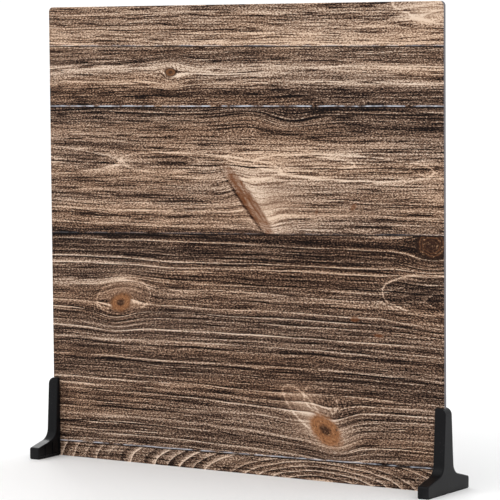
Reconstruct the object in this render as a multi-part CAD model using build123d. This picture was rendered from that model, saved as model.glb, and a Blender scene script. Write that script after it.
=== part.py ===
from build123d import *
import os

# A rigid backdrop board, printed with timber on both sides, that stands in two push-on feet.
# X runs across the board, Y through it and Z up. The brown timber faces -Y, the dark timber +Y.
# The origin is at the middle of the footprint, on the surface that the board and feet stand on.

# Board
BOARD_SIDE = 609.6              # 24 in square
BOARD_THICKNESS = 5.0
BOARD_CORNER_RADIUS = 6.0
FACE_SHEET_THICKNESS = 0.3

# Foot: one moulding, the same front and back, used at both ends of the board
FOOT_HEIGHT = 107.0
FOOT_LENGTH = 104.0             # toe tip to heel tip, along Y
FOOT_WIDTH = 15.5               # along X
OUTER_WALL = 5.0                # how far the foot stands out past the board's edge
UPRIGHT_TOP_HALF = 8.2          # half the upright's thickness at the top
UPRIGHT_ROOT_HALF = 13.2        # the same where its face would meet the toe's slope
ROOT_HEIGHT = 25.3              # height of that meeting line
TIP_HEIGHT = 15.3               # height of the toe's sharp tip, before rounding
ROOT_RADIUS = 16.0
TIP_RADIUS = 3.0
OUTER_TOP_RADIUS = 9.0
INNER_TOP_RADIUS = 2.0
EDGE_RADIUS = 1.5

# Slot that takes the board
SLOT_CLEARANCE = 0.3            # on each side and at the end
SLOT_LEAD_IN = 0.8              # chamfer at the slot's mouth
GRIP_RIB_HEIGHT = 0.2
GRIP_RIB_WIDTH = 1.2
GRIP_RIB_OFFSETS = (3.0, 7.0)   # from the board's edge, inwards

# Panelled inner side of the toe and heel
PANEL_DEPTH = 1.0
PANEL_LEDGE = 3.6               # height of the plain band above the sole
PANEL_BORDER = 2.6              # plain band under the slope and at the tip
PANEL_RIB_WIDTH = 1.6
PANEL_RIB_OFFSETS = (19.5, 36.0)  # from the board's centre plane
PANEL_INNER_END = 6.0           # where the panels stop, beside the slot

# Rubber pads let into the soles
PAD_THICKNESS = 2.0
PAD_PROUD = 1.0
PAD_INSET = 0.6                 # from the foot's sides and tips
PAD_SLOT_GAP = 1.6              # from the slot's walls
PAD_CORNER_RADIUS = 1.5
PAD_POCKET_CLEARANCE = 0.1

NEAR = 0.01                     # two lengths closer than this are the same
OVERCUT = 1.0                   # how far a cutting shape runs past the face it opens

BOARD_EDGE = BOARD_SIDE / 2
FOOT_OUTER = BOARD_EDGE + OUTER_WALL
FOOT_INNER = FOOT_OUTER - FOOT_WIDTH
SLOT_HALF = BOARD_THICKNESS / 2 + SLOT_CLEARANCE
TIP_HALF = FOOT_LENGTH / 2
TOE_SLOPE = (ROOT_HEIGHT - TIP_HEIGHT) / (TIP_HALF - UPRIGHT_ROOT_HALF)


def board_sheet(y_low, y_high):
    """One layer of the board: the rounded square outline between two depths."""
    outline = RectangleRounded(BOARD_SIDE, BOARD_SIDE, BOARD_CORNER_RADIUS)
    sheet = extrude(outline, y_high - y_low)
    # Plane.XZ faces -Y, so the sheet grows towards -Y from its high side.
    return Location(Plane.XZ.offset(-y_high)) * Pos(0, BOARD_SIDE / 2, 0) * sheet


def slope_height(y):
    """Height of the toe's or heel's sloping top at distance y from the centre plane."""
    return ROOT_HEIGHT - TOE_SLOPE * (y - UPRIGHT_ROOT_HALF)


def side_profile():
    """The foot's outline seen along X: an upright that flares into a toe and a heel."""
    half = [
        (TIP_HALF, PAD_PROUD),
        (TIP_HALF, TIP_HEIGHT),
        (UPRIGHT_ROOT_HALF, ROOT_HEIGHT),
        (UPRIGHT_TOP_HALF, FOOT_HEIGHT),
    ]
    other = [(-y, z) for y, z in reversed(half)]
    profile = make_face(Polyline(*half, *other, close=True))

    def corners(z):
        return [v for v in profile.vertices() if abs(v.Y - z) < NEAR]

    profile = fillet(corners(ROOT_HEIGHT), ROOT_RADIUS)
    return fillet(corners(TIP_HEIGHT), TIP_RADIUS)


def end_profile():
    """The foot's outline seen along Y: a plain bar with its outer top corner well rounded."""
    profile = Pos((FOOT_INNER + FOOT_OUTER) / 2, FOOT_HEIGHT / 2) * Rectangle(FOOT_WIDTH, FOOT_HEIGHT)
    top = profile.vertices().group_by(Axis.Y)[-1].sort_by(Axis.X)
    profile = fillet(top[-1], OUTER_TOP_RADIUS)
    inner_top = profile.vertices().group_by(Axis.Y)[-1].sort_by(Axis.X)[0]
    return fillet(inner_top, INNER_TOP_RADIUS)


def foot_blank():
    """The solid moulding before its slot and pockets, with its long edges rounded."""
    side = extrude(Location(Plane.YZ.offset(FOOT_INNER)) * side_profile(), FOOT_WIDTH)
    end = extrude(Location(Plane.XZ) * end_profile(), FOOT_LENGTH, both=True)
    blank = side & end

    def rounded(edge):
        box = edge.bounding_box()
        on_side = box.size.X < NEAR and min(abs(box.min.X - x) for x in (FOOT_INNER, FOOT_OUTER)) < NEAR
        # The upright's front and back faces lean, so their edges across the top have a little depth.
        on_upright = box.size.Y < EDGE_RADIUS and box.min.Z > FOOT_HEIGHT - OUTER_TOP_RADIUS - EDGE_RADIUS
        return box.max.Z > PAD_PROUD + NEAR and (on_side or on_upright)

    return fillet([e for e in blank.edges() if rounded(e)], EDGE_RADIUS)


def block(x, y, z):
    """A box between three (low, high) pairs."""
    size = [high - low for low, high in (x, y, z)]
    middle = [(high + low) / 2 for low, high in (x, y, z)]
    return Pos(*middle) * Box(*size)


def board_slot():
    """The space for the board, open at the top, the sole and the inner side."""
    high = FOOT_HEIGHT + OVERCUT
    slot = block((FOOT_INNER - OVERCUT, BOARD_EDGE + SLOT_CLEARANCE), (-SLOT_HALF, SLOT_HALF), (0, high))
    for side in (-1, 1):
        for offset in GRIP_RIB_OFFSETS:
            x = BOARD_EDGE - offset
            wall = sorted((side * SLOT_HALF, side * (SLOT_HALF - GRIP_RIB_HEIGHT)))
            slot -= block((x - GRIP_RIB_WIDTH / 2, x + GRIP_RIB_WIDTH / 2), wall, (0, high))
    mouth = Polyline(
        (FOOT_INNER - OVERCUT, SLOT_HALF + SLOT_LEAD_IN + OVERCUT),
        (FOOT_INNER - OVERCUT, -SLOT_HALF - SLOT_LEAD_IN - OVERCUT),
        (FOOT_INNER + SLOT_LEAD_IN, -SLOT_HALF),
        (FOOT_INNER + SLOT_LEAD_IN, SLOT_HALF),
        close=True,
    )
    return slot + extrude(make_face(mouth), high)


def side_panels():
    """The shallow panels on the inner side of the heel, with plain ribs left between them."""
    last = TIP_HALF - PANEL_BORDER
    stops = [PANEL_INNER_END, *PANEL_RIB_OFFSETS, last]
    panels = []
    for low, high in zip(stops, stops[1:]):
        y_low = low if low == PANEL_INNER_END else low + PANEL_RIB_WIDTH / 2
        y_high = high if high == last else high - PANEL_RIB_WIDTH / 2
        z_low, z_high = (min(slope_height(y), ROOT_HEIGHT) - PANEL_BORDER for y in (y_low, y_high))
        corners = [(y_low, PANEL_LEDGE), (y_high, PANEL_LEDGE), (y_high, z_high), (y_low, z_low)]
        outline = make_face(Polyline(*corners, close=True))
        start = Location(Plane.YZ.offset(FOOT_INNER - OVERCUT))
        panels.append(extrude(start * outline, PANEL_DEPTH + OVERCUT))
    return panels


def pad_outline(clearance=0.0):
    """The rubber pad's outline under the heel, grown by a clearance."""
    x_low, x_high = FOOT_INNER + PAD_INSET, FOOT_OUTER - PAD_INSET
    y_low, y_high = SLOT_HALF + PAD_SLOT_GAP, TIP_HALF - PAD_INSET
    width, length = x_high - x_low + 2 * clearance, y_high - y_low + 2 * clearance
    radius = PAD_CORNER_RADIUS + clearance
    return Pos((x_low + x_high) / 2, (y_low + y_high) / 2) * RectangleRounded(width, length, radius)


def sole_pad():
    """One rubber pad, under the heel of the foot at the +X end."""
    return extrude(pad_outline(), PAD_THICKNESS)


def foot():
    """The moulding at the +X end of the board."""
    part = foot_blank() - board_slot()
    pad_pocket = extrude(pad_outline(PAD_POCKET_CLEARANCE), PAD_THICKNESS)
    for cut in (pad_pocket, *side_panels()):
        part = part - cut - mirror(cut, Plane.XZ)
    return part


right_foot = foot()
right_heel_pad = sole_pad()
right_toe_pad = mirror(right_heel_pad, Plane.XZ)
half_turn = Rot(0, 0, 180)

core_half = BOARD_THICKNESS / 2 - FACE_SHEET_THICKNESS
parts = {
    "panel_core": board_sheet(-core_half, core_half),
    "brown_timber_face": board_sheet(-BOARD_THICKNESS / 2, -core_half),
    "dark_timber_face": board_sheet(core_half, BOARD_THICKNESS / 2),
    "right_foot": right_foot,
    "right_toe_pad": right_toe_pad,
    "right_heel_pad": right_heel_pad,
    "left_foot": half_turn * right_foot,
    "left_toe_pad": half_turn * right_heel_pad,
    "left_heel_pad": half_turn * right_toe_pad,
}

os.makedirs("parts", exist_ok=True)
for name, shape in parts.items():
    export_step(shape, f"parts/{name}.step")
    box = shape.bounding_box()
    low, high = tuple(round(v, 2) for v in box.min), tuple(round(v, 2) for v in box.max)
    print(f"{name}: {len(shape.solids())} solid, {low} to {high}")
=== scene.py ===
import math

import bpy
from mathutils import Matrix, Vector


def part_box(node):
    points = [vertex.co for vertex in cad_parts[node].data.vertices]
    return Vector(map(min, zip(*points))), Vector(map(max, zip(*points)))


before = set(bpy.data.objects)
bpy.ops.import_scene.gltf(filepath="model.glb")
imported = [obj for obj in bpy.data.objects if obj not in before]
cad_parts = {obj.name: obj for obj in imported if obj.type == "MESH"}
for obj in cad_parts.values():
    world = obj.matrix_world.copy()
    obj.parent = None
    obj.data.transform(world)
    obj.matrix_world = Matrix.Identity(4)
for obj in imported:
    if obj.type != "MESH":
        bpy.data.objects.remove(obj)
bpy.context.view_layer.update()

# A rigid board with a different timber print on each side, standing in two slotted feet. Every
# shape is the frame's own. This script gives the shapes their materials, and adds the floor, the
# lights and the camera. The two prints are drawn by shader nodes. All lengths are in metres, and a
# place on a print is how far it is to the right of the board's middle, seen from that side, and
# how high it is above the floor.

MM = 0.001

FLOOR_HALF_SIDE = 30.0
WORLD_STRENGTH = 1.07
KEY_POWER = 11                  # watts
RIM_POWER = 6

LENS = 188.95                   # focal length in mm, on a 36 mm sensor
CAMERA_DISTANCE = 3.397         # from the point that it looks at
CAMERA_HEADING = 33.49          # degrees round from the brown side, towards the right foot
CAMERA_RISE = 4.555             # degrees above the level
CAMERA_ROLL = 0.442             # degrees

scene = bpy.context.scene
scene.view_settings.view_transform = "Standard"

board_low, board_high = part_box("panel_core")
BOARD_HEIGHT = board_high.z - board_low.z


# ---------------------------------------------------------------- node graphs written as formulas

def display_colour(red, green, blue):
    """A colour given as display values from 0 to 255, as the linear values that shaders take."""
    def linear(value):
        share = value / 255
        return share / 12.92 if share <= 0.04045 else ((share + 0.055) / 1.055) ** 2.4
    return (linear(red), linear(green), linear(blue), 1.0)


class Value:
    """A number, vector or colour in a material's nodes. Formulas of numbers become Math nodes."""

    def __init__(self, graph, socket):
        self.graph, self.socket = graph, socket

    def __add__(self, other):
        return self.graph.math("ADD", self, other)

    def __sub__(self, other):
        return self.graph.math("SUBTRACT", self, other)

    def __rsub__(self, other):
        return self.graph.math("SUBTRACT", other, self)

    def __mul__(self, other):
        return self.graph.math("MULTIPLY", self, other)

    def __truediv__(self, other):
        return self.graph.math("DIVIDE", self, other)

    def __gt__(self, other):
        return self.graph.math("GREATER_THAN", self, other)

    def __abs__(self):
        return self.graph.math("ABSOLUTE", self)

    __radd__ = __add__
    __rmul__ = __mul__


class Graph:
    """A new material and the nodes that feed its Principled shader."""

    def __init__(self, name):
        self.material = bpy.data.materials.new(name)
        self.material.use_nodes = True
        self.tree = self.material.node_tree
        self.shader = self.tree.nodes["Principled BSDF"]

    def node(self, kind, inputs, **settings):
        """A new node. Its inputs are given by name or number, as values or plain numbers."""
        node = self.tree.nodes.new(kind)
        for key, value in settings.items():
            setattr(node, key, value)
        for key, value in inputs.items():
            self.feed(node.inputs[key], value)
        return node

    def feed(self, socket, value):
        if isinstance(value, Value):
            self.tree.links.new(value.socket, socket)
        else:
            socket.default_value = value

    def math(self, operation, *values, clamp=False):
        inputs = dict(enumerate(values))
        node = self.node("ShaderNodeMath", inputs, operation=operation, use_clamp=clamp)
        return Value(self, node.outputs[0])

    def place(self):
        """The point on the surface, in the frame's metres, as a vector and as x, y and z."""
        point = Value(self, self.node("ShaderNodeTexCoord", {}).outputs["Object"])
        parts = self.node("ShaderNodeSeparateXYZ", {0: point})
        return point, *(Value(self, output) for output in parts.outputs)

    def vector(self, x, y, z=0.0):
        return Value(self, self.node("ShaderNodeCombineXYZ", {0: x, 1: y, 2: z}).outputs[0])

    def noise(self, point, scale=1.0, detail=2.0, roughness=0.5):
        """Smooth noise from 0 to 1, mostly between 0.3 and 0.7."""
        settings = {"Vector": point, "Scale": scale, "Detail": detail, "Roughness": roughness}
        return Value(self, self.node("ShaderNodeTexNoise", settings).outputs[0])

    def hashed(self, number):
        """A fixed random value from 0 to 1 for each whole number."""
        node = self.node("ShaderNodeTexWhiteNoise", {"W": number}, noise_dimensions="1D")
        return Value(self, node.outputs["Value"])

    def step(self, value, low, high):
        """A soft step from 0 at low to 1 at high. It falls where high is the lower of the two."""
        inputs = {"Value": value, "From Min": low, "From Max": high}
        node = self.node("ShaderNodeMapRange", inputs, interpolation_type="SMOOTHSTEP")
        return Value(self, node.outputs[0])

    def least(self, values):
        """The smallest of several values."""
        found = values[0]
        for value in values[1:]:
            found = self.math("MINIMUM", found, value)
        return found

    def ramp(self, value, stops, interpolation="LINEAR"):
        """A ramp through (place, colour) or (place, number) stops, as its colour output."""
        node = self.node("ShaderNodeValToRGB", {0: value})
        ramp = node.color_ramp
        ramp.interpolation = interpolation
        while len(ramp.elements) < len(stops):
            ramp.elements.new(1.0)
        for element, (place, colour) in zip(ramp.elements, stops):
            element.position = place
            element.color = colour if isinstance(colour, tuple) else (colour, colour, colour, 1.0)
        return Value(self, node.outputs[0])

    def pick(self, index, numbers):
        """The one of the numbers whose place in the list is index, as a hard-edged ramp."""
        low, high = min(numbers), max(numbers)
        if low == high:
            return low
        count = len(numbers)
        stops = [(i / count, (number - low) / (high - low)) for i, number in enumerate(numbers)]
        share = self.ramp((index + 0.5) * (1 / count), stops, "CONSTANT")
        return share * (high - low) + low

    def blend(self, share, first, second, mode="MIX"):
        """The second colour over the first, by a share from 0 to 1."""
        inputs = {0: share, 6: first, 7: second}
        node = self.node("ShaderNodeMix", inputs, data_type="RGBA", blend_type=mode)
        return Value(self, node.outputs[2])

    def bump(self, height, distance, strength=1.0):
        """A normal for a surface whose height from 0 to 1 stands for the distance in metres."""
        inputs = {"Height": height, "Distance": distance, "Strength": strength}
        node = self.node("ShaderNodeBump", inputs)
        return Value(self, node.outputs[0])

    def finish(self, colour, roughness, normal, specular):
        """Feeds the shader, and gives the finished material."""
        self.feed(self.shader.inputs["Base Color"], colour)
        self.feed(self.shader.inputs["Roughness"], roughness)
        self.feed(self.shader.inputs["Normal"], normal)
        self.shader.inputs["Specular IOR Level"].default_value = specular
        return self.material


# ---------------------------------------------------------------- printed timber

KNOT_DARKEST = display_colour(26, 17, 14)
OFF_PLANK = 100                 # far outside any spot, in squares of its radii
OFF_BOARD = 10                  # further than any seam
SEAM_WOBBLE = 1.6 * MM
GRAIN_WANDER = 14 * MM
GRAIN_RIPPLE = 3.5 * MM
FURROW_WAVER = 8 * MM
LINE_WAVER = 10 * MM
LOOP_WIDTH = 1.3 * MM


class Plank:
    """One printed plank. Its ring lines lie along an axis, and the numbers say how they leave it."""

    def __init__(self, axis, origin=0.0, tip=0.02, opening=0.0, reach=0.06, oval=0.0, bow=0.0,
                 spacing=0.007, rings=0.5, lines=0.5, dashes=0.5, streaks=0.5):
        self.axis = axis          # the height that the ring lines lie about
        self.origin = origin      # along the plank, where its tips, ovals and arch have their middle
        self.tip = tip            # roundness of the tips
        self.opening = opening    # how steeply the ring lines leave the axis, to the right of the tip
        self.reach = reach        # how far from the axis that lasts
        self.oval = oval          # above 0, the ring lines close into ovals
        self.bow = bow            # above 0, the ring lines arch up at the origin
        self.spacing = spacing    # from one ring line to the next
        self.rings = rings        # strength of the ring lines
        self.lines = lines        # strength of the thin pale lines
        self.dashes = dashes      # strength of the short dark dashes
        self.streaks = streaks    # strength of the long soft streaks, on the brown print


class Spot:
    """An oval on the print: a knot that the grain flows round, a bend, a patch, a loop or a stain."""

    def __init__(self, along, height, radii, tilt=0.0, amount=0.0, push=0.0, spread=2.0, shear=0.0,
                 below=False, dark=0.0, rim=0.0):
        self.along, self.height = along, height
        self.radii = radii
        self.tilt = tilt          # radians anticlockwise
        self.amount = amount      # lightness added, or how strong a stain is
        self.push = push          # how strongly the grain parts round it
        self.spread = spread      # how far out that reaches, in radii
        self.shear = shear        # how steeply the grain runs down to the right at it
        self.below = below        # whether only the grain below its middle gives way
        self.dark = dark          # how dark a knot's own wood is
        self.rim = rim            # how dark its rim is

    def local(self, g, along, z):
        """Where a point is from the spot's middle, in the spot's own radii, as two values."""
        def turned(run, rise):
            start = -self.along * run - self.height * rise
            return g.math("MULTIPLY_ADD", along, run, g.math("MULTIPLY_ADD", z, rise, start))

        long, short = self.radii
        u = turned(math.cos(self.tilt) / long, math.sin(self.tilt) / long)
        v = turned(-math.sin(self.tilt) / short, math.cos(self.tilt) / short)
        return u, v


class Timber:
    """The fields that both prints are drawn from: planks, grain, ring lines and streaks."""

    def __init__(self, name, facing, seams, planks, knots, bends, seed):
        """Seams are (height in the middle, slope), and planks one more than those, from the bottom up.

        facing is 1 where +X is to the right of the print, and -1 where it is to the left.
        """
        self.g = g = Graph(name)
        self.point, x, _, self.z = g.place()
        self.along = x * facing
        self.planks = planks

        # Which plank a point is on, and how far it is above one seam and below the next.
        wobble = g.noise(g.vector(self.along * 30, self.z * 4, seed), detail=3)
        wobble = (wobble - 0.5) * SEAM_WOBBLE
        self.index, over, under = None, [], []
        for height, slope in seams:
            gap = self.z + wobble - (self.along * slope + height)
            above = gap > 0.0
            self.index = above if self.index is None else self.index + above
            over.append(gap + (1.0 - above) * OFF_BOARD)
            under.append(above * OFF_BOARD - gap)
        self.over_seam, self.under_seam = g.least(over), g.least(under)
        # A number of its own for each plank, so that each draws its noise from a place of its own.
        self.lane = self.index * 7.3 + seed
        self.seams = seams
        # For each plank, 0 on it and OFF_PLANK off it.
        self.off_plank = []
        for number in range(len(planks)):
            on_plank = g.math("COMPARE", self.index, number, 0.5)
            self.off_plank.append(on_plank * -OFF_PLANK + OFF_PLANK)

        # Grain is a height that wanders and gives way to knots. What follows the grain is drawn
        # at that height instead of the true one.
        wander = g.noise(g.vector(self.along * 2.5, self.z * 6, self.lane)) - 0.5
        grain = self.z + wander * GRAIN_WANDER
        ripple = g.noise(g.vector(self.along * 14, self.z * 60, self.lane)) - 0.5
        grain = grain + ripple * GRAIN_RIPPLE
        self.knots = []
        for knot in knots + bends:
            u, v, square = self.local(knot)
            hold = g.math("POWER", math.exp(-1 / knot.spread ** 2), square)
            rise = self.z - knot.height
            rise = g.math("MINIMUM", rise, 0.0) if knot.below else rise
            push = rise * knot.push - (self.along - knot.along) * knot.shear
            grain = grain - hold * push
            if knot in knots:
                self.knots.append((knot, u, v, square))
        self.grain = grain

    def local(self, spot):
        """Where a point is in a spot's own radii, and the square of how far out that is.

        The square is large on every plank but the spot's own, which ends the spot at a seam.
        """
        own_plank = sum(spot.height > slope * spot.along + height for height, slope in self.seams)
        u, v = spot.local(self.g, self.along, self.z)
        return u, v, u * u + v * v + self.off_plank[own_plank]

    def of_plank(self, trait):
        """One of Plank's numbers, for the plank that a point is on."""
        return self.g.pick(self.index, [getattr(plank, trait) for plank in self.planks])

    def rings(self):
        """Lightness of the ring lines, which are level lines of a distance from the plank's axis.

        A ring is pale where it starts and dark where it ends, with a strength of its own.
        """
        g = self.g
        run = self.along - self.of_plank("origin")
        across = self.grain - self.of_plank("axis") + run * run * self.of_plank("bow")
        flat = across * across
        oval = run * self.of_plank("oval")
        tip = self.of_plank("tip")
        reach = self.of_plank("reach")
        fade = g.math("EXPONENT", flat * -1.0 / (reach * reach))
        field = g.math("SQRT", flat + tip * tip + oval * oval)
        field = field - g.math("MAXIMUM", run, 0.0) * self.of_plank("opening") * fade
        ring = field / self.of_plank("spacing")
        ring = ring + g.noise(g.vector(self.along * 3, self.grain * 20, self.lane), detail=1) * 1.2
        number = g.math("FLOOR", ring)
        share = ring - number
        late = g.step(share, 0.25, 1.0) * g.step(share, 1.0, 0.94)
        early = g.math("EXPONENT", share * -7.0)
        return (early * 0.6 - late * 0.2) * g.hashed(number + self.lane) * self.of_plank("rings")

    def grit(self, along, across):
        """Fine slanting speckle from about -1 to 1. The numbers are how often it changes in a metre."""
        g = self.g
        first = self.along * along + self.grain * (across * 0.3)
        second = self.grain * across - self.along * (along * 0.25)
        return g.noise(g.vector(first, second), detail=2, roughness=0.9) * 4 - 2

    def furrows(self, spacing, seed=0.0):
        """Even rows along the grain, from -1 to 1, which fade in and out."""
        g = self.g
        waver = g.noise(g.vector(self.along * 6, self.grain * 40, self.lane + seed), detail=1)
        wave = g.math("SINE", (self.grain + waver * FURROW_WAVER) * (math.tau / spacing))
        shown = g.noise(g.vector(self.along * 16, self.z * 40, self.lane + seed))
        return wave * g.step(shown, 0.30, 0.70)

    def fibres(self, along, across, detail=2, roughness=0.6, seed=0.0):
        """Noise from about -1 to 1, drawn out along the grain.

        along and across are how often it changes in a metre that way.
        """
        place = self.g.vector(self.along * along, self.grain * across, self.lane + seed)
        return self.g.noise(place, detail=detail, roughness=roughness) * 4 - 2

    def lines(self, spacing, width, length, seed=0.0):
        """Thin wavering lines along the grain, from 0 up to 1.6, which come and go."""
        g = self.g
        lane = self.lane + seed
        drift = g.vector(self.along * (0.6 / length), self.grain * (0.25 / spacing), lane)
        waver = g.noise(drift, detail=2)
        place = (self.grain + waver * LINE_WAVER) / spacing
        number = g.math("FLOOR", place)
        off = abs(place - number - 0.5) * (spacing / width)
        crest = g.math("SUBTRACT", 1.0, off * off, clamp=True)
        shown = g.noise(g.vector(self.along / length, number * 5.3, lane), detail=1)
        return crest * g.step(shown, 0.40, 0.68) * (g.hashed(number + lane) * 1.5 + 0.1)

    def patches(self, spots):
        """Soft ovals of lightness, which add up."""
        total = None
        for spot in spots:
            square = self.local(spot)[2]
            glow = self.g.math("POWER", math.exp(-1), square) * spot.amount
            total = glow if total is None else total + glow
        return total

    def loops(self, spots):
        """Thin pale outlines of ovals, as where a ring line closes or turns back on itself."""
        g = self.g
        ragged = (g.noise(g.vector(self.along * 40, self.z * 60, 4.0), detail=3) - 0.5) * 0.24
        total = None
        for spot in spots:
            u, v, square = self.local(spot)
            long, short = spot.radii
            steep = g.math("SQRT", u * u * long ** -2 + v * v * short ** -2)
            away = g.math("SQRT", square)
            off = (away + ragged - 1.0) * away / steep / LOOP_WIDTH
            line = g.math("POWER", math.exp(-1), off * off) * spot.amount
            total = line if total is None else total + line
        worn = g.step(g.noise(g.vector(self.along * 25, self.z * 25, 5.0)), 0.30, 0.55)
        return total * (worn * 0.4 + 0.6)

    def worn_lines(self, spots):
        """Pale flecks along long thin spots, as where paint has worn off the grain's crests."""
        g = self.g
        flecks = g.noise(g.vector(self.along * 110, self.z * 500, self.lane), detail=2, roughness=0.6)
        return self.patches(spots) * (g.step(flecks, 0.36, 0.60) * 0.75 + 0.25)

    def draw_stains(self, colour, spots, stain):
        """Draws each spot over the colour in a cloudy stain, with a ragged edge."""
        g = self.g
        ragged = (g.noise(g.vector(self.along * 120, self.z * 120, 6.0), detail=3) - 0.5) * 1.5
        for spot in spots:
            u, v, square = self.local(spot)
            cloud = g.noise(g.vector(u, v), scale=2.0, detail=4)
            shade = g.blend(g.step(cloud, 0.35, 0.65) * 0.4, stain, colour)
            colour = g.blend(g.step(square + ragged, 1.8, 0.4) * spot.amount, colour, shade)
        return colour

    def draw_knots(self, colour, wood, dark, pale):
        """Draws each knot over the colour: rings of its own, a darker rim and a cracked heart."""
        g = self.g
        ragged = g.noise(g.vector(self.along * 60, self.z * 60, 2.0), detail=5, roughness=0.7)
        ragged = (ragged - 0.5) * 0.6
        for knot, u, v, square in self.knots:
            away = g.math("SQRT", square) + ragged
            ring = g.step(abs(g.math("FRACT", away * 5.0) - 0.5), 0.05, 0.5)
            body = g.blend(ring * (0.2 + knot.dark * 0.4) + knot.dark, wood, dark)
            body = g.blend(g.step(away, 0.48, 0.22) * 0.9, body, dark)
            specks = g.noise(g.vector(u, v), scale=5.0, detail=4, roughness=0.8)
            body = g.blend(g.step(specks, 0.47, 0.38) * 0.85, body, KNOT_DARKEST)
            body = g.blend(g.step(specks, 0.57, 0.63) * 0.75, body, pale)
            body = g.blend(g.step(away, 0.70, 0.92) * knot.rim, body, KNOT_DARKEST)
            colour = g.blend(g.step(away, 1.25, 0.80), colour, body)
        return colour

    def laminated(self, colour):
        """The finished material: the print under a matt film with a fine grain of its own."""
        g = self.g
        film = g.noise(self.point, scale=1500, detail=2, roughness=0.6)
        wear = g.noise(self.point, scale=14, detail=3)
        normal = g.bump(film, 0.00004, 0.6)
        return g.finish(colour, 0.52 + film * 0.12 + wear * 0.10, normal, specular=0.06)


def bands_by_height(timber, bands):
    """Lightness that follows the grain, through (height in millimetres, lightness) pairs."""
    stops = [(height * MM / BOARD_HEIGHT, tone) for height, tone in bands]
    return timber.g.ramp(timber.grain * (1 / BOARD_HEIGHT), stops)


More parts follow.
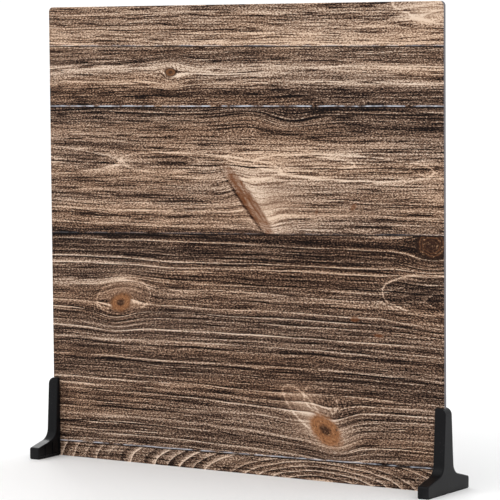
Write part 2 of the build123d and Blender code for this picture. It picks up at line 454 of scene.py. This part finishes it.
def brown_print():
    """Five planks of warm brown timber, with big knots and a slanting streak."""
    seams = [(25 * MM, 0.015), (313 * MM, 0.027), (478 * MM, 0.007), (556 * MM, -0.005)]
    planks = [
        Plank(axis=-0.012, origin=0.125, tip=0.004, oval=0.28, spacing=0.0055, rings=2.2, lines=0.2,
              dashes=0.8),
        Plank(axis=0.240, origin=0.216, tip=0.010, opening=0.25, reach=0.035, spacing=0.008, rings=1.5,
              lines=0.75, dashes=0.6, streaks=0.5),
        Plank(axis=0.405, origin=-0.300, tip=0.012, opening=-0.08, reach=0.03, spacing=0.009, rings=0.8,
              lines=0.5, dashes=1.0, streaks=0.7),
        Plank(axis=0.430, origin=0.150, bow=0.12, spacing=0.008, rings=0.6, lines=0.8, dashes=0.9,
              streaks=1.0),
        Plank(axis=0.592, origin=0.235, tip=0.010, opening=0.12, spacing=0.009, rings=0.5, dashes=1.1,
              streaks=0.8),
    ]
    knots = [
        # The big pale one at the bottom right, the dark one cut by the right-hand edge, and two more.
        Spot(0.131, 0.066, (0.027, 0.016), tilt=-0.6, push=0.3, spread=1.3, shear=0.2, below=True),
        Spot(0.288, 0.309, (0.025, 0.019), push=0.8, spread=1.6, dark=0.75, rim=0.9),
        Spot(-0.190, 0.215, (0.018, 0.012), tilt=0.3, push=0.9, spread=2.2, shear=-0.1, dark=0.1,
             rim=0.3),
        Spot(-0.105, 0.522, (0.009, 0.006), push=0.9, spread=2.5, dark=0.4, rim=0.8),
    ]
    bends = [
        Spot(0.110, 0.108, (0.075, 0.055), push=0.32, spread=1.0, below=True),
        Spot(0.148, 0.108, (0.032, 0.060), push=0.26, spread=1.0, below=True),
        Spot(0.022, 0.352, (0.050, 0.020), tilt=-0.88, spread=0.9, shear=0.5),
        Spot(0.050, 0.460, (0.050, 0.016), spread=1.0, shear=0.3),
    ]
    patches = [
        Spot(0.102, 0.090, (0.040, 0.018), tilt=-0.75, amount=0.26),
        Spot(0.136, 0.064, (0.042, 0.026), tilt=-0.6, amount=0.32),
        Spot(0.100, 0.270, (0.200, 0.045), amount=-0.05),
        Spot(0.030, 0.356, (0.058, 0.022), tilt=-0.88, amount=0.34),
        Spot(0.010, 0.350, (0.048, 0.0022), tilt=-0.88, amount=-0.70),
        Spot(0.075, 0.352, (0.060, 0.035), amount=0.12),
        Spot(0.100, 0.405, (0.100, 0.028), amount=0.18),
        Spot(0.250, 0.460, (0.110, 0.018), amount=-0.22),
        Spot(0.285, 0.597, (0.050, 0.018), amount=0.35),
        Spot(0.290, 0.247, (0.060, 0.020), amount=-0.12),
        Spot(0.265, 0.280, (0.050, 0.010), amount=0.16),
        Spot(-0.185, 0.235, (0.050, 0.022), amount=0.20),
    ]
    calm = [
        Spot(0.115, 0.080, (0.060, 0.030), tilt=-0.6, amount=0.75),
        Spot(0.040, 0.352, (0.050, 0.040), amount=0.6),
        Spot(0.285, 0.597, (0.040, 0.014), amount=0.5),
        Spot(-0.185, 0.225, (0.040, 0.022), amount=0.6),
    ]
    loops = [
        # The ring line that turns back like an arrowhead near the right-hand edge, and others.
        Spot(0.290, 0.247, (0.074, 0.025), amount=0.62),
        Spot(0.330, 0.604, (0.100, 0.026), tilt=-0.1, amount=0.45),
        Spot(0.098, 0.092, (0.040, 0.015), tilt=-0.75, amount=0.34),
        Spot(0.124, 0.104, (0.027, 0.016), tilt=-0.35, amount=0.28),
        Spot(0.160, 0.402, (0.134, 0.016), tilt=-0.03, amount=0.50),
        Spot(0.080, 0.409, (0.100, 0.009), tilt=-0.03, amount=0.45),
        Spot(-0.060, 0.400, (0.130, 0.016), tilt=-0.04, amount=0.45),
        Spot(-0.185, 0.222, (0.045, 0.022), tilt=0.2, amount=0.30),
    ]
    stains = [
        # The slanting streak, and four small marks.
        Spot(0.018, 0.355, (0.052, 0.0085), tilt=-0.88, amount=1.0),
        Spot(0.176, 0.211, (0.006, 0.003), amount=0.9),
        Spot(0.211, 0.192, (0.007, 0.002), amount=0.9),
        Spot(0.175, 0.353, (0.005, 0.003), tilt=0.7, amount=0.9),
        Spot(0.120, 0.345, (0.006, 0.002), tilt=1.3, amount=0.5),
    ]
    bands = [
        (0, 0.46), (24, 0.46), (34, 0.32), (60, 0.38), (108, 0.36), (125, 0.26), (132, 0.16), (140, 0.30),
        (150, 0.18), (158, 0.34), (190, 0.35), (221, 0.33), (226, 0.48), (233, 0.31), (262, 0.30),
        (268, 0.46), (276, 0.26), (308, 0.16), (322, 0.50), (372, 0.54), (430, 0.52), (460, 0.40),
        (478, 0.26), (500, 0.24), (508, 0.74), (516, 0.46), (527, 0.76), (536, 0.34), (552, 0.40),
        (558, 0.80), (580, 0.60), (605, 0.56)]
    timber = Timber("brown_timber_print", 1.0, seams, planks, knots, bends, seed=3.0)
    g = timber.g

    lift = 0.03                 # lightens the whole print
    tone = bands_by_height(timber, bands) + timber.patches(patches) + lift
    tone = tone + timber.fibres(3, 80, 2, 0.5) * 0.20 * timber.of_plank("streaks")

    # Fine detail, which the calm places have less of: pale lines, dark lines, grit and dark dashes.
    detail = timber.lines(0.010, 0.0010, 0.200) * 0.50 * timber.of_plank("lines")
    detail = detail + timber.lines(0.005, 0.0008, 0.080, seed=21) * 0.32 * timber.of_plank("lines")
    detail = detail - timber.lines(0.0036, 0.0008, 0.050, seed=11) * 0.42
    detail = detail - timber.lines(0.022, 0.0011, 0.100, seed=31) * 0.75
    grit = timber.grit(320, 740)
    detail = detail + grit * 0.84 + timber.fibres(12, 400, 2, 0.8, seed=2) * 0.20
    dash = timber.fibres(22, 680, 0, 0.5, seed=8)
    detail = detail - g.step(dash, 0.20, 0.60) * 0.44 * timber.of_plank("dashes")
    tone = tone + detail * (1.0 - timber.patches(calm)) + timber.rings() + timber.loops(loops)

    colour = g.ramp(tone, [
        (0.00, display_colour(20, 13, 11)),
        (0.15, display_colour(48, 33, 27)),
        (0.35, display_colour(94, 71, 57)),
        (0.50, display_colour(124, 98, 81)),
        (0.65, display_colour(155, 127, 107)),
        (0.82, display_colour(192, 166, 144)),
        (1.00, display_colour(228, 206, 186)),
    ])
    warmth = g.step(g.noise(g.vector(timber.along * 3, timber.grain * 22, timber.lane)), 0.4, 0.65)
    colour = g.blend(warmth * 0.5, colour, display_colour(255, 238, 220), "MULTIPLY")
    colour = timber.draw_stains(colour, stains, display_colour(108, 64, 36))
    colour = timber.draw_knots(colour, display_colour(152, 103, 68), display_colour(54, 34, 25),
                               display_colour(190, 150, 115))

    # Seams between the planks: a dark gap, with a worn bluish edge above some of them.
    gap = g.step(timber.under_seam, 2.0 * MM, 1.2 * MM)
    edge = g.step(timber.over_seam, 1.9 * MM, 0.9 * MM) * g.step(timber.fibres(45, 0, 3), -0.5, 0.5)
    edge = edge * g.pick(timber.index, [0.0, 0.7, 0.1, 1.0, 0.3])
    colour = g.blend(edge, colour, display_colour(205, 208, 218))
    colour = g.blend(gap * 0.9, colour, display_colour(20, 16, 16))

    return timber.laminated(colour)


def dark_print():
    """Four planks of nearly black timber, with small knots, cracks and worn pale lines."""
    seams = [(123 * MM, -0.003), (311 * MM, -0.007), (507 * MM, 0.0)]
    planks = [
        Plank(axis=0.060, origin=-0.100, tip=0.012, opening=0.10, reach=0.03, spacing=0.010, rings=0.30,
              lines=0.7, dashes=0.7),
        Plank(axis=0.196, origin=-0.140, tip=0.010, oval=0.16, spacing=0.009, rings=0.35, lines=0.5,
              dashes=0.5),
        Plank(axis=0.375, origin=-0.172, tip=0.010, bow=0.05, spacing=0.008, rings=0.25, lines=0.5,
              dashes=0.5),
        Plank(axis=0.640, origin=-0.240, tip=0.010, oval=0.25, spacing=0.011, rings=0.35, lines=0.6,
              dashes=0.8),
    ]
    knots = [
        # The drop-shaped one, and five rounder ones.
        Spot(-0.172, 0.376, (0.0075, 0.0125), tilt=0.15, push=0.9, spread=2.6, dark=0.9, rim=0.9),
        Spot(-0.056, 0.541, (0.0060, 0.0060), push=0.9, spread=2.0, dark=0.9, rim=0.9),
        Spot(-0.272, 0.082, (0.0060, 0.0060), push=0.9, spread=2.0, dark=0.8, rim=0.9),
        Spot(-0.030, 0.077, (0.0060, 0.0060), push=0.9, spread=2.0, dark=0.8, rim=0.9),
        Spot(0.118, 0.232, (0.0120, 0.0085), tilt=0.2, push=0.9, spread=2.4, dark=0.7, rim=0.9),
        Spot(0.212, 0.452, (0.0060, 0.0050), push=0.9, spread=2.0, dark=0.8, rim=0.9),
    ]
    patches = [
        Spot(-0.214, 0.058, (0.006, 0.004), amount=-0.30),
        Spot(-0.174, 0.055, (0.007, 0.004), amount=-0.35),
        Spot(0.094, 0.066, (0.007, 0.004), amount=-0.30),
        Spot(-0.185, 0.4172, (0.030, 0.0011), amount=-1.0),
        Spot(-0.112, 0.4145, (0.040, 0.0010), tilt=0.02, amount=-1.0),
        Spot(0.085, 0.4300, (0.040, 0.0010), tilt=-0.02, amount=-1.0),
        Spot(-0.157, 0.361, (0.016, 0.003), tilt=0.1, amount=0.60),
        Spot(-0.184, 0.386, (0.003, 0.010), tilt=0.2, amount=0.35),
        Spot(-0.155, 0.378, (0.018, 0.002), tilt=0.3, amount=0.35),
        Spot(-0.196, 0.372, (0.014, 0.002), tilt=-0.3, amount=0.30),
        Spot(-0.230, 0.338, (0.070, 0.016), amount=0.16),
        Spot(-0.080, 0.333, (0.050, 0.014), amount=0.16),
        Spot(0.120, 0.340, (0.070, 0.018), amount=0.16),
        Spot(-0.236, 0.2075, (0.020, 0.0050), tilt=0.15, amount=0.26),
        Spot(-0.205, 0.1985, (0.016, 0.0040), tilt=0.15, amount=0.30),
        Spot(-0.150, 0.1990, (0.030, 0.0045), amount=0.34),
        Spot(-0.145, 0.2130, (0.055, 0.0035), amount=0.22),
        Spot(-0.075, 0.2040, (0.040, 0.0050), tilt=-0.1, amount=0.24),
        Spot(0.060, 0.2000, (0.060, 0.0060), amount=0.26),
        Spot(-0.120, 0.470, (0.130, 0.010), amount=0.12),
        Spot(-0.030, 0.495, (0.030, 0.014), amount=-0.20),
        Spot(-0.230, 0.490, (0.040, 0.012), amount=-0.14),
    ]
    worn = [
        # Two pale lines run the board's whole width. The others are shorter.
        Spot(-0.150, 0.1755, (0.600, 0.0017), tilt=-0.004, amount=0.80),
        Spot(-0.150, 0.1695, (0.600, 0.0014), tilt=-0.006, amount=0.68),
        Spot(-0.150, 0.4455, (0.150, 0.0016), amount=0.95),
        Spot(-0.210, 0.4500, (0.080, 0.0010), amount=0.35),
        Spot(-0.260, 0.4530, (0.060, 0.0015), amount=0.35),
        Spot(-0.150, 0.4650, (0.140, 0.0025), amount=0.60),
        Spot(-0.130, 0.4750, (0.090, 0.0020), amount=0.40),
        Spot(-0.205, 0.2240, (0.090, 0.0015), tilt=0.10, amount=0.50),
        Spot(-0.095, 0.2260, (0.080, 0.0015), tilt=-0.10, amount=0.50),
        Spot(0.100, 0.2230, (0.100, 0.0015), tilt=0.03, amount=0.45),
        Spot(0.140, 0.4620, (0.120, 0.0016), amount=0.55),
        Spot(-0.155, 0.5745, (0.060, 0.0014), amount=0.60),
        Spot(-0.155, 0.5700, (0.045, 0.0012), amount=0.45),
        Spot(-0.265, 0.5545, (0.045, 0.0014), amount=0.60),
        Spot(-0.120, 0.5560, (0.070, 0.0012), amount=0.35),
        Spot(-0.050, 0.5400, (0.040, 0.0020), amount=0.55),
        Spot(0.110, 0.5640, (0.080, 0.0025), amount=0.50),
        Spot(-0.125, 0.3125, (0.040, 0.0016), amount=0.80),
        Spot(-0.215, 0.3155, (0.026, 0.0013), tilt=0.05, amount=0.60),
        Spot(-0.275, 0.3140, (0.030, 0.0015), tilt=-0.03, amount=0.70),
        Spot(0.150, 0.3120, (0.110, 0.0013), amount=0.60),
        Spot(-0.200, 0.0960, (0.130, 0.0040), amount=0.35),
        Spot(-0.150, 0.0145, (0.060, 0.0020), amount=0.30),
        Spot(-0.265, 0.0140, (0.022, 0.0020), amount=0.70),
        Spot(-0.045, 0.0150, (0.022, 0.0020), amount=0.55),
        Spot(-0.110, 0.0560, (0.150, 0.0030), amount=0.30),
        Spot(0.140, 0.0900, (0.120, 0.0030), amount=0.40),
    ]
    bands = [
        (0, 0.50), (24, 0.50), (33, 0.24), (40, 0.44), (58, 0.32), (68, 0.44), (80, 0.36), (92, 0.50),
        (104, 0.24), (121, 0.18), (127, 0.46), (162, 0.54), (180, 0.46), (186, 0.28), (194, 0.44),
        (215, 0.40), (223, 0.50), (229, 0.34), (262, 0.34), (285, 0.20), (309, 0.14), (316, 0.50),
        (350, 0.44), (400, 0.36), (422, 0.26), (440, 0.24), (456, 0.34), (480, 0.34), (490, 0.12),
        (505, 0.16), (513, 0.44), (560, 0.38)]
    timber = Timber("dark_timber_print", -1.0, seams, planks, knots, [], seed=11.0)
    g = timber.g

    tone = bands_by_height(timber, bands) + timber.patches(patches) + timber.worn_lines(worn)
    mottle = g.noise(g.vector(timber.along * 40, timber.z * 60, timber.lane), detail=4, roughness=0.65)
    calm = timber.patches([
        Spot(0.0, 0.145, (2.0, 0.018), amount=0.7),
        Spot(0.0, 0.270, (2.0, 0.022), amount=0.4),
    ])
    detail = (mottle - 0.5) * 1.0 + timber.fibres(4, 90, 2, 0.5) * 0.09
    detail = detail + timber.furrows(0.0042) * 0.16 + timber.furrows(0.0031, seed=5) * 0.10
    detail = detail + timber.rings()
    detail = detail + timber.lines(0.008, 0.0012, 0.060) * 0.22 * timber.of_plank("lines")
    detail = detail - timber.lines(0.008, 0.0010, 0.060, seed=11) * 0.22
    detail = detail + timber.lines(0.005, 0.0010, 0.012, seed=21) * 0.35 * timber.of_plank("lines")
    dash = timber.fibres(45, 420, 1, 0.6, seed=8)
    detail = detail - g.step(dash, 0.2, 0.6) * 0.14 * timber.of_plank("dashes")
    grit = timber.grit(340, 560)
    tone = tone + detail * (1.0 - calm) + grit * 0.26

    colour = g.ramp(tone, [
        (0.0, display_colour(16, 15, 16)),
        (0.2, display_colour(36, 34, 35)),
        (0.4, display_colour(58, 56, 57)),
        (0.6, display_colour(82, 81, 82)),
        (0.8, display_colour(112, 111, 111)),
        (1.0, display_colour(150, 150, 150)),
    ])
    colour = timber.draw_knots(colour, display_colour(64, 62, 63), display_colour(24, 22, 23),
                               display_colour(110, 109, 110))
    gap = g.step(timber.under_seam, 1.8 * MM, 1.0 * MM)
    colour = g.blend(gap * 0.8, colour, display_colour(18, 17, 18))

    return timber.laminated(colour)


# ---------------------------------------------------------------- plain materials

def foam_edge():
    """The cut edge of foamed plastic board: fine cells, and faint marks across it from the saw."""
    g = Graph("foamed_plastic")
    point, x, y, z = g.place()
    voronoi = g.node("ShaderNodeTexVoronoi", {"Vector": point, "Scale": 2000.0})
    cells = Value(g, voronoi.outputs["Distance"])
    marks = g.noise(g.vector((x + z) * 700, y * 60), detail=3)
    cloud = g.noise(point, scale=30, detail=4)
    shade = cells * 0.5 + marks * 0.4 + cloud * 0.3
    colour = g.ramp(shade, [(0.3, display_colour(84, 82, 86)), (0.8, display_colour(126, 124, 128))])
    return g.finish(colour, 0.70 + cells * 0.2, g.bump(cells + marks, 0.00008, 0.7), specular=0.2)


def foot_plastic():
    """Satin black moulding: fine pitted texture, cloudy sheen, a few scuffs and some dust low down."""
    g = Graph("satin_black_plastic")
    point, x, y, z = g.place()
    pits = g.noise(point, scale=1300, detail=3, roughness=0.6)
    cloud = g.noise(point, scale=28, detail=4)
    scuffs = g.noise(g.vector(x * 500, y * 60, z * 420), detail=3, roughness=0.6)
    scuffs = g.step(scuffs, 0.62, 0.72) * g.step(cloud, 0.45, 0.60)
    dust = g.step(z, 22 * MM, 0.0) * g.step(cloud, 0.40, 0.70)
    colour = g.blend(cloud * 0.6 + pits * 0.4, display_colour(5, 5, 6), display_colour(22, 22, 24))
    colour = g.blend(scuffs * 0.35 + dust * 0.12, colour, display_colour(72, 71, 70))
    roughness = 0.20 + cloud * 0.12 + pits * 0.10 + scuffs * 0.20
    return g.finish(colour, roughness, g.bump(pits, 0.00008, 0.9), specular=0.11)


def sole_rubber():
    """Matt black rubber with a fine grain and a paler bloom of dust."""
    g = Graph("matt_black_rubber")
    point = g.place()[0]
    grain = g.noise(point, scale=1800, detail=3, roughness=0.7)
    bloom = g.noise(point, scale=60, detail=4)
    colour = g.blend(g.step(bloom, 0.40, 0.70), display_colour(12, 12, 12), display_colour(34, 33, 32))
    return g.finish(colour, 0.75 + grain * 0.15, g.bump(grain, 0.00006, 0.8), specular=0.15)


materials = {
    "panel_core": foam_edge(),
    "brown_timber_face": brown_print(),
    "dark_timber_face": dark_print(),
    "foot": foot_plastic(),
    "pad": sole_rubber(),
}
for name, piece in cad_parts.items():
    kind = name if name in materials else name.rsplit("_", 1)[-1]
    piece.data.materials.clear()
    piece.data.materials.append(materials[kind])


# ---------------------------------------------------------------- floor, light and camera

def floor():
    """A nearly white floor that reaches far past the board."""
    mesh = bpy.data.meshes.new("floor")
    signs = [(-1, -1), (1, -1), (1, 1), (-1, 1)]
    corners = [(x * FLOOR_HALF_SIDE, y * FLOOR_HALF_SIDE, 0) for x, y in signs]
    mesh.from_pydata(corners, [], [(0, 1, 2, 3)])
    piece = bpy.data.objects.new("floor", mesh)
    scene.collection.objects.link(piece)
    g = Graph("pale_floor")
    point = g.place()[0]
    cloud = g.noise(point, scale=4, detail=4)
    colour = g.blend(cloud, (0.965, 0.965, 0.965, 1), (0.985, 0.985, 0.985, 1))
    mesh.materials.append(g.finish(colour, 0.8 + cloud * 0.1, g.bump(cloud, 0.0002), specular=0.2))


def softbox(name, place, target, size, power):
    """A rectangular light that faces its target. The camera doesn't see it."""
    light = bpy.data.lights.new(name, "AREA")
    light.shape = "RECTANGLE"
    light.size, light.size_y = size
    light.energy = power
    piece = bpy.data.objects.new(name, light)
    scene.collection.objects.link(piece)
    piece.location = place
    piece.rotation_euler = (Vector(target) - Vector(place)).to_track_quat("-Z", "Y").to_euler()
    piece.visible_camera = False


def studio():
    """A white surround with a soft key light from the front and a small one from behind."""
    world = bpy.data.worlds.new("studio")
    scene.world = world
    world.use_nodes = True
    background = world.node_tree.nodes["Background"]
    background.inputs["Color"].default_value = (1, 1, 1, 1)
    background.inputs["Strength"].default_value = WORLD_STRENGTH
    middle = (0, 0, BOARD_HEIGHT / 2)
    softbox("key", (-1.6, -2.4, 2.6), middle, (1.6, 1.6), KEY_POWER)
    softbox("rim", (-1.6, 1.5, 1.3), middle, (0.5, 0.5), RIM_POWER)


def camera():
    """A long lens that looks at a point near the board's middle."""
    lens_data = bpy.data.cameras.new("camera")
    lens_data.lens = LENS
    lens_data.clip_end = 200
    piece = bpy.data.objects.new("camera", lens_data)
    scene.collection.objects.link(piece)
    heading, rise = math.radians(CAMERA_HEADING), math.radians(CAMERA_RISE)
    level = math.cos(rise)
    back = Vector((math.sin(heading) * level, -math.cos(heading) * level, math.sin(rise)))
    roll = Matrix.Rotation(-math.radians(CAMERA_ROLL), 4, "Z")
    turn = (-back).to_track_quat("-Z", "Y").to_matrix().to_4x4() @ roll
    aim = Vector((0.0164, 0, 0.48 * BOARD_HEIGHT))
    piece.matrix_world = Matrix.Translation(aim + back * CAMERA_DISTANCE) @ turn
    scene.camera = piece


floor()
studio()
camera()
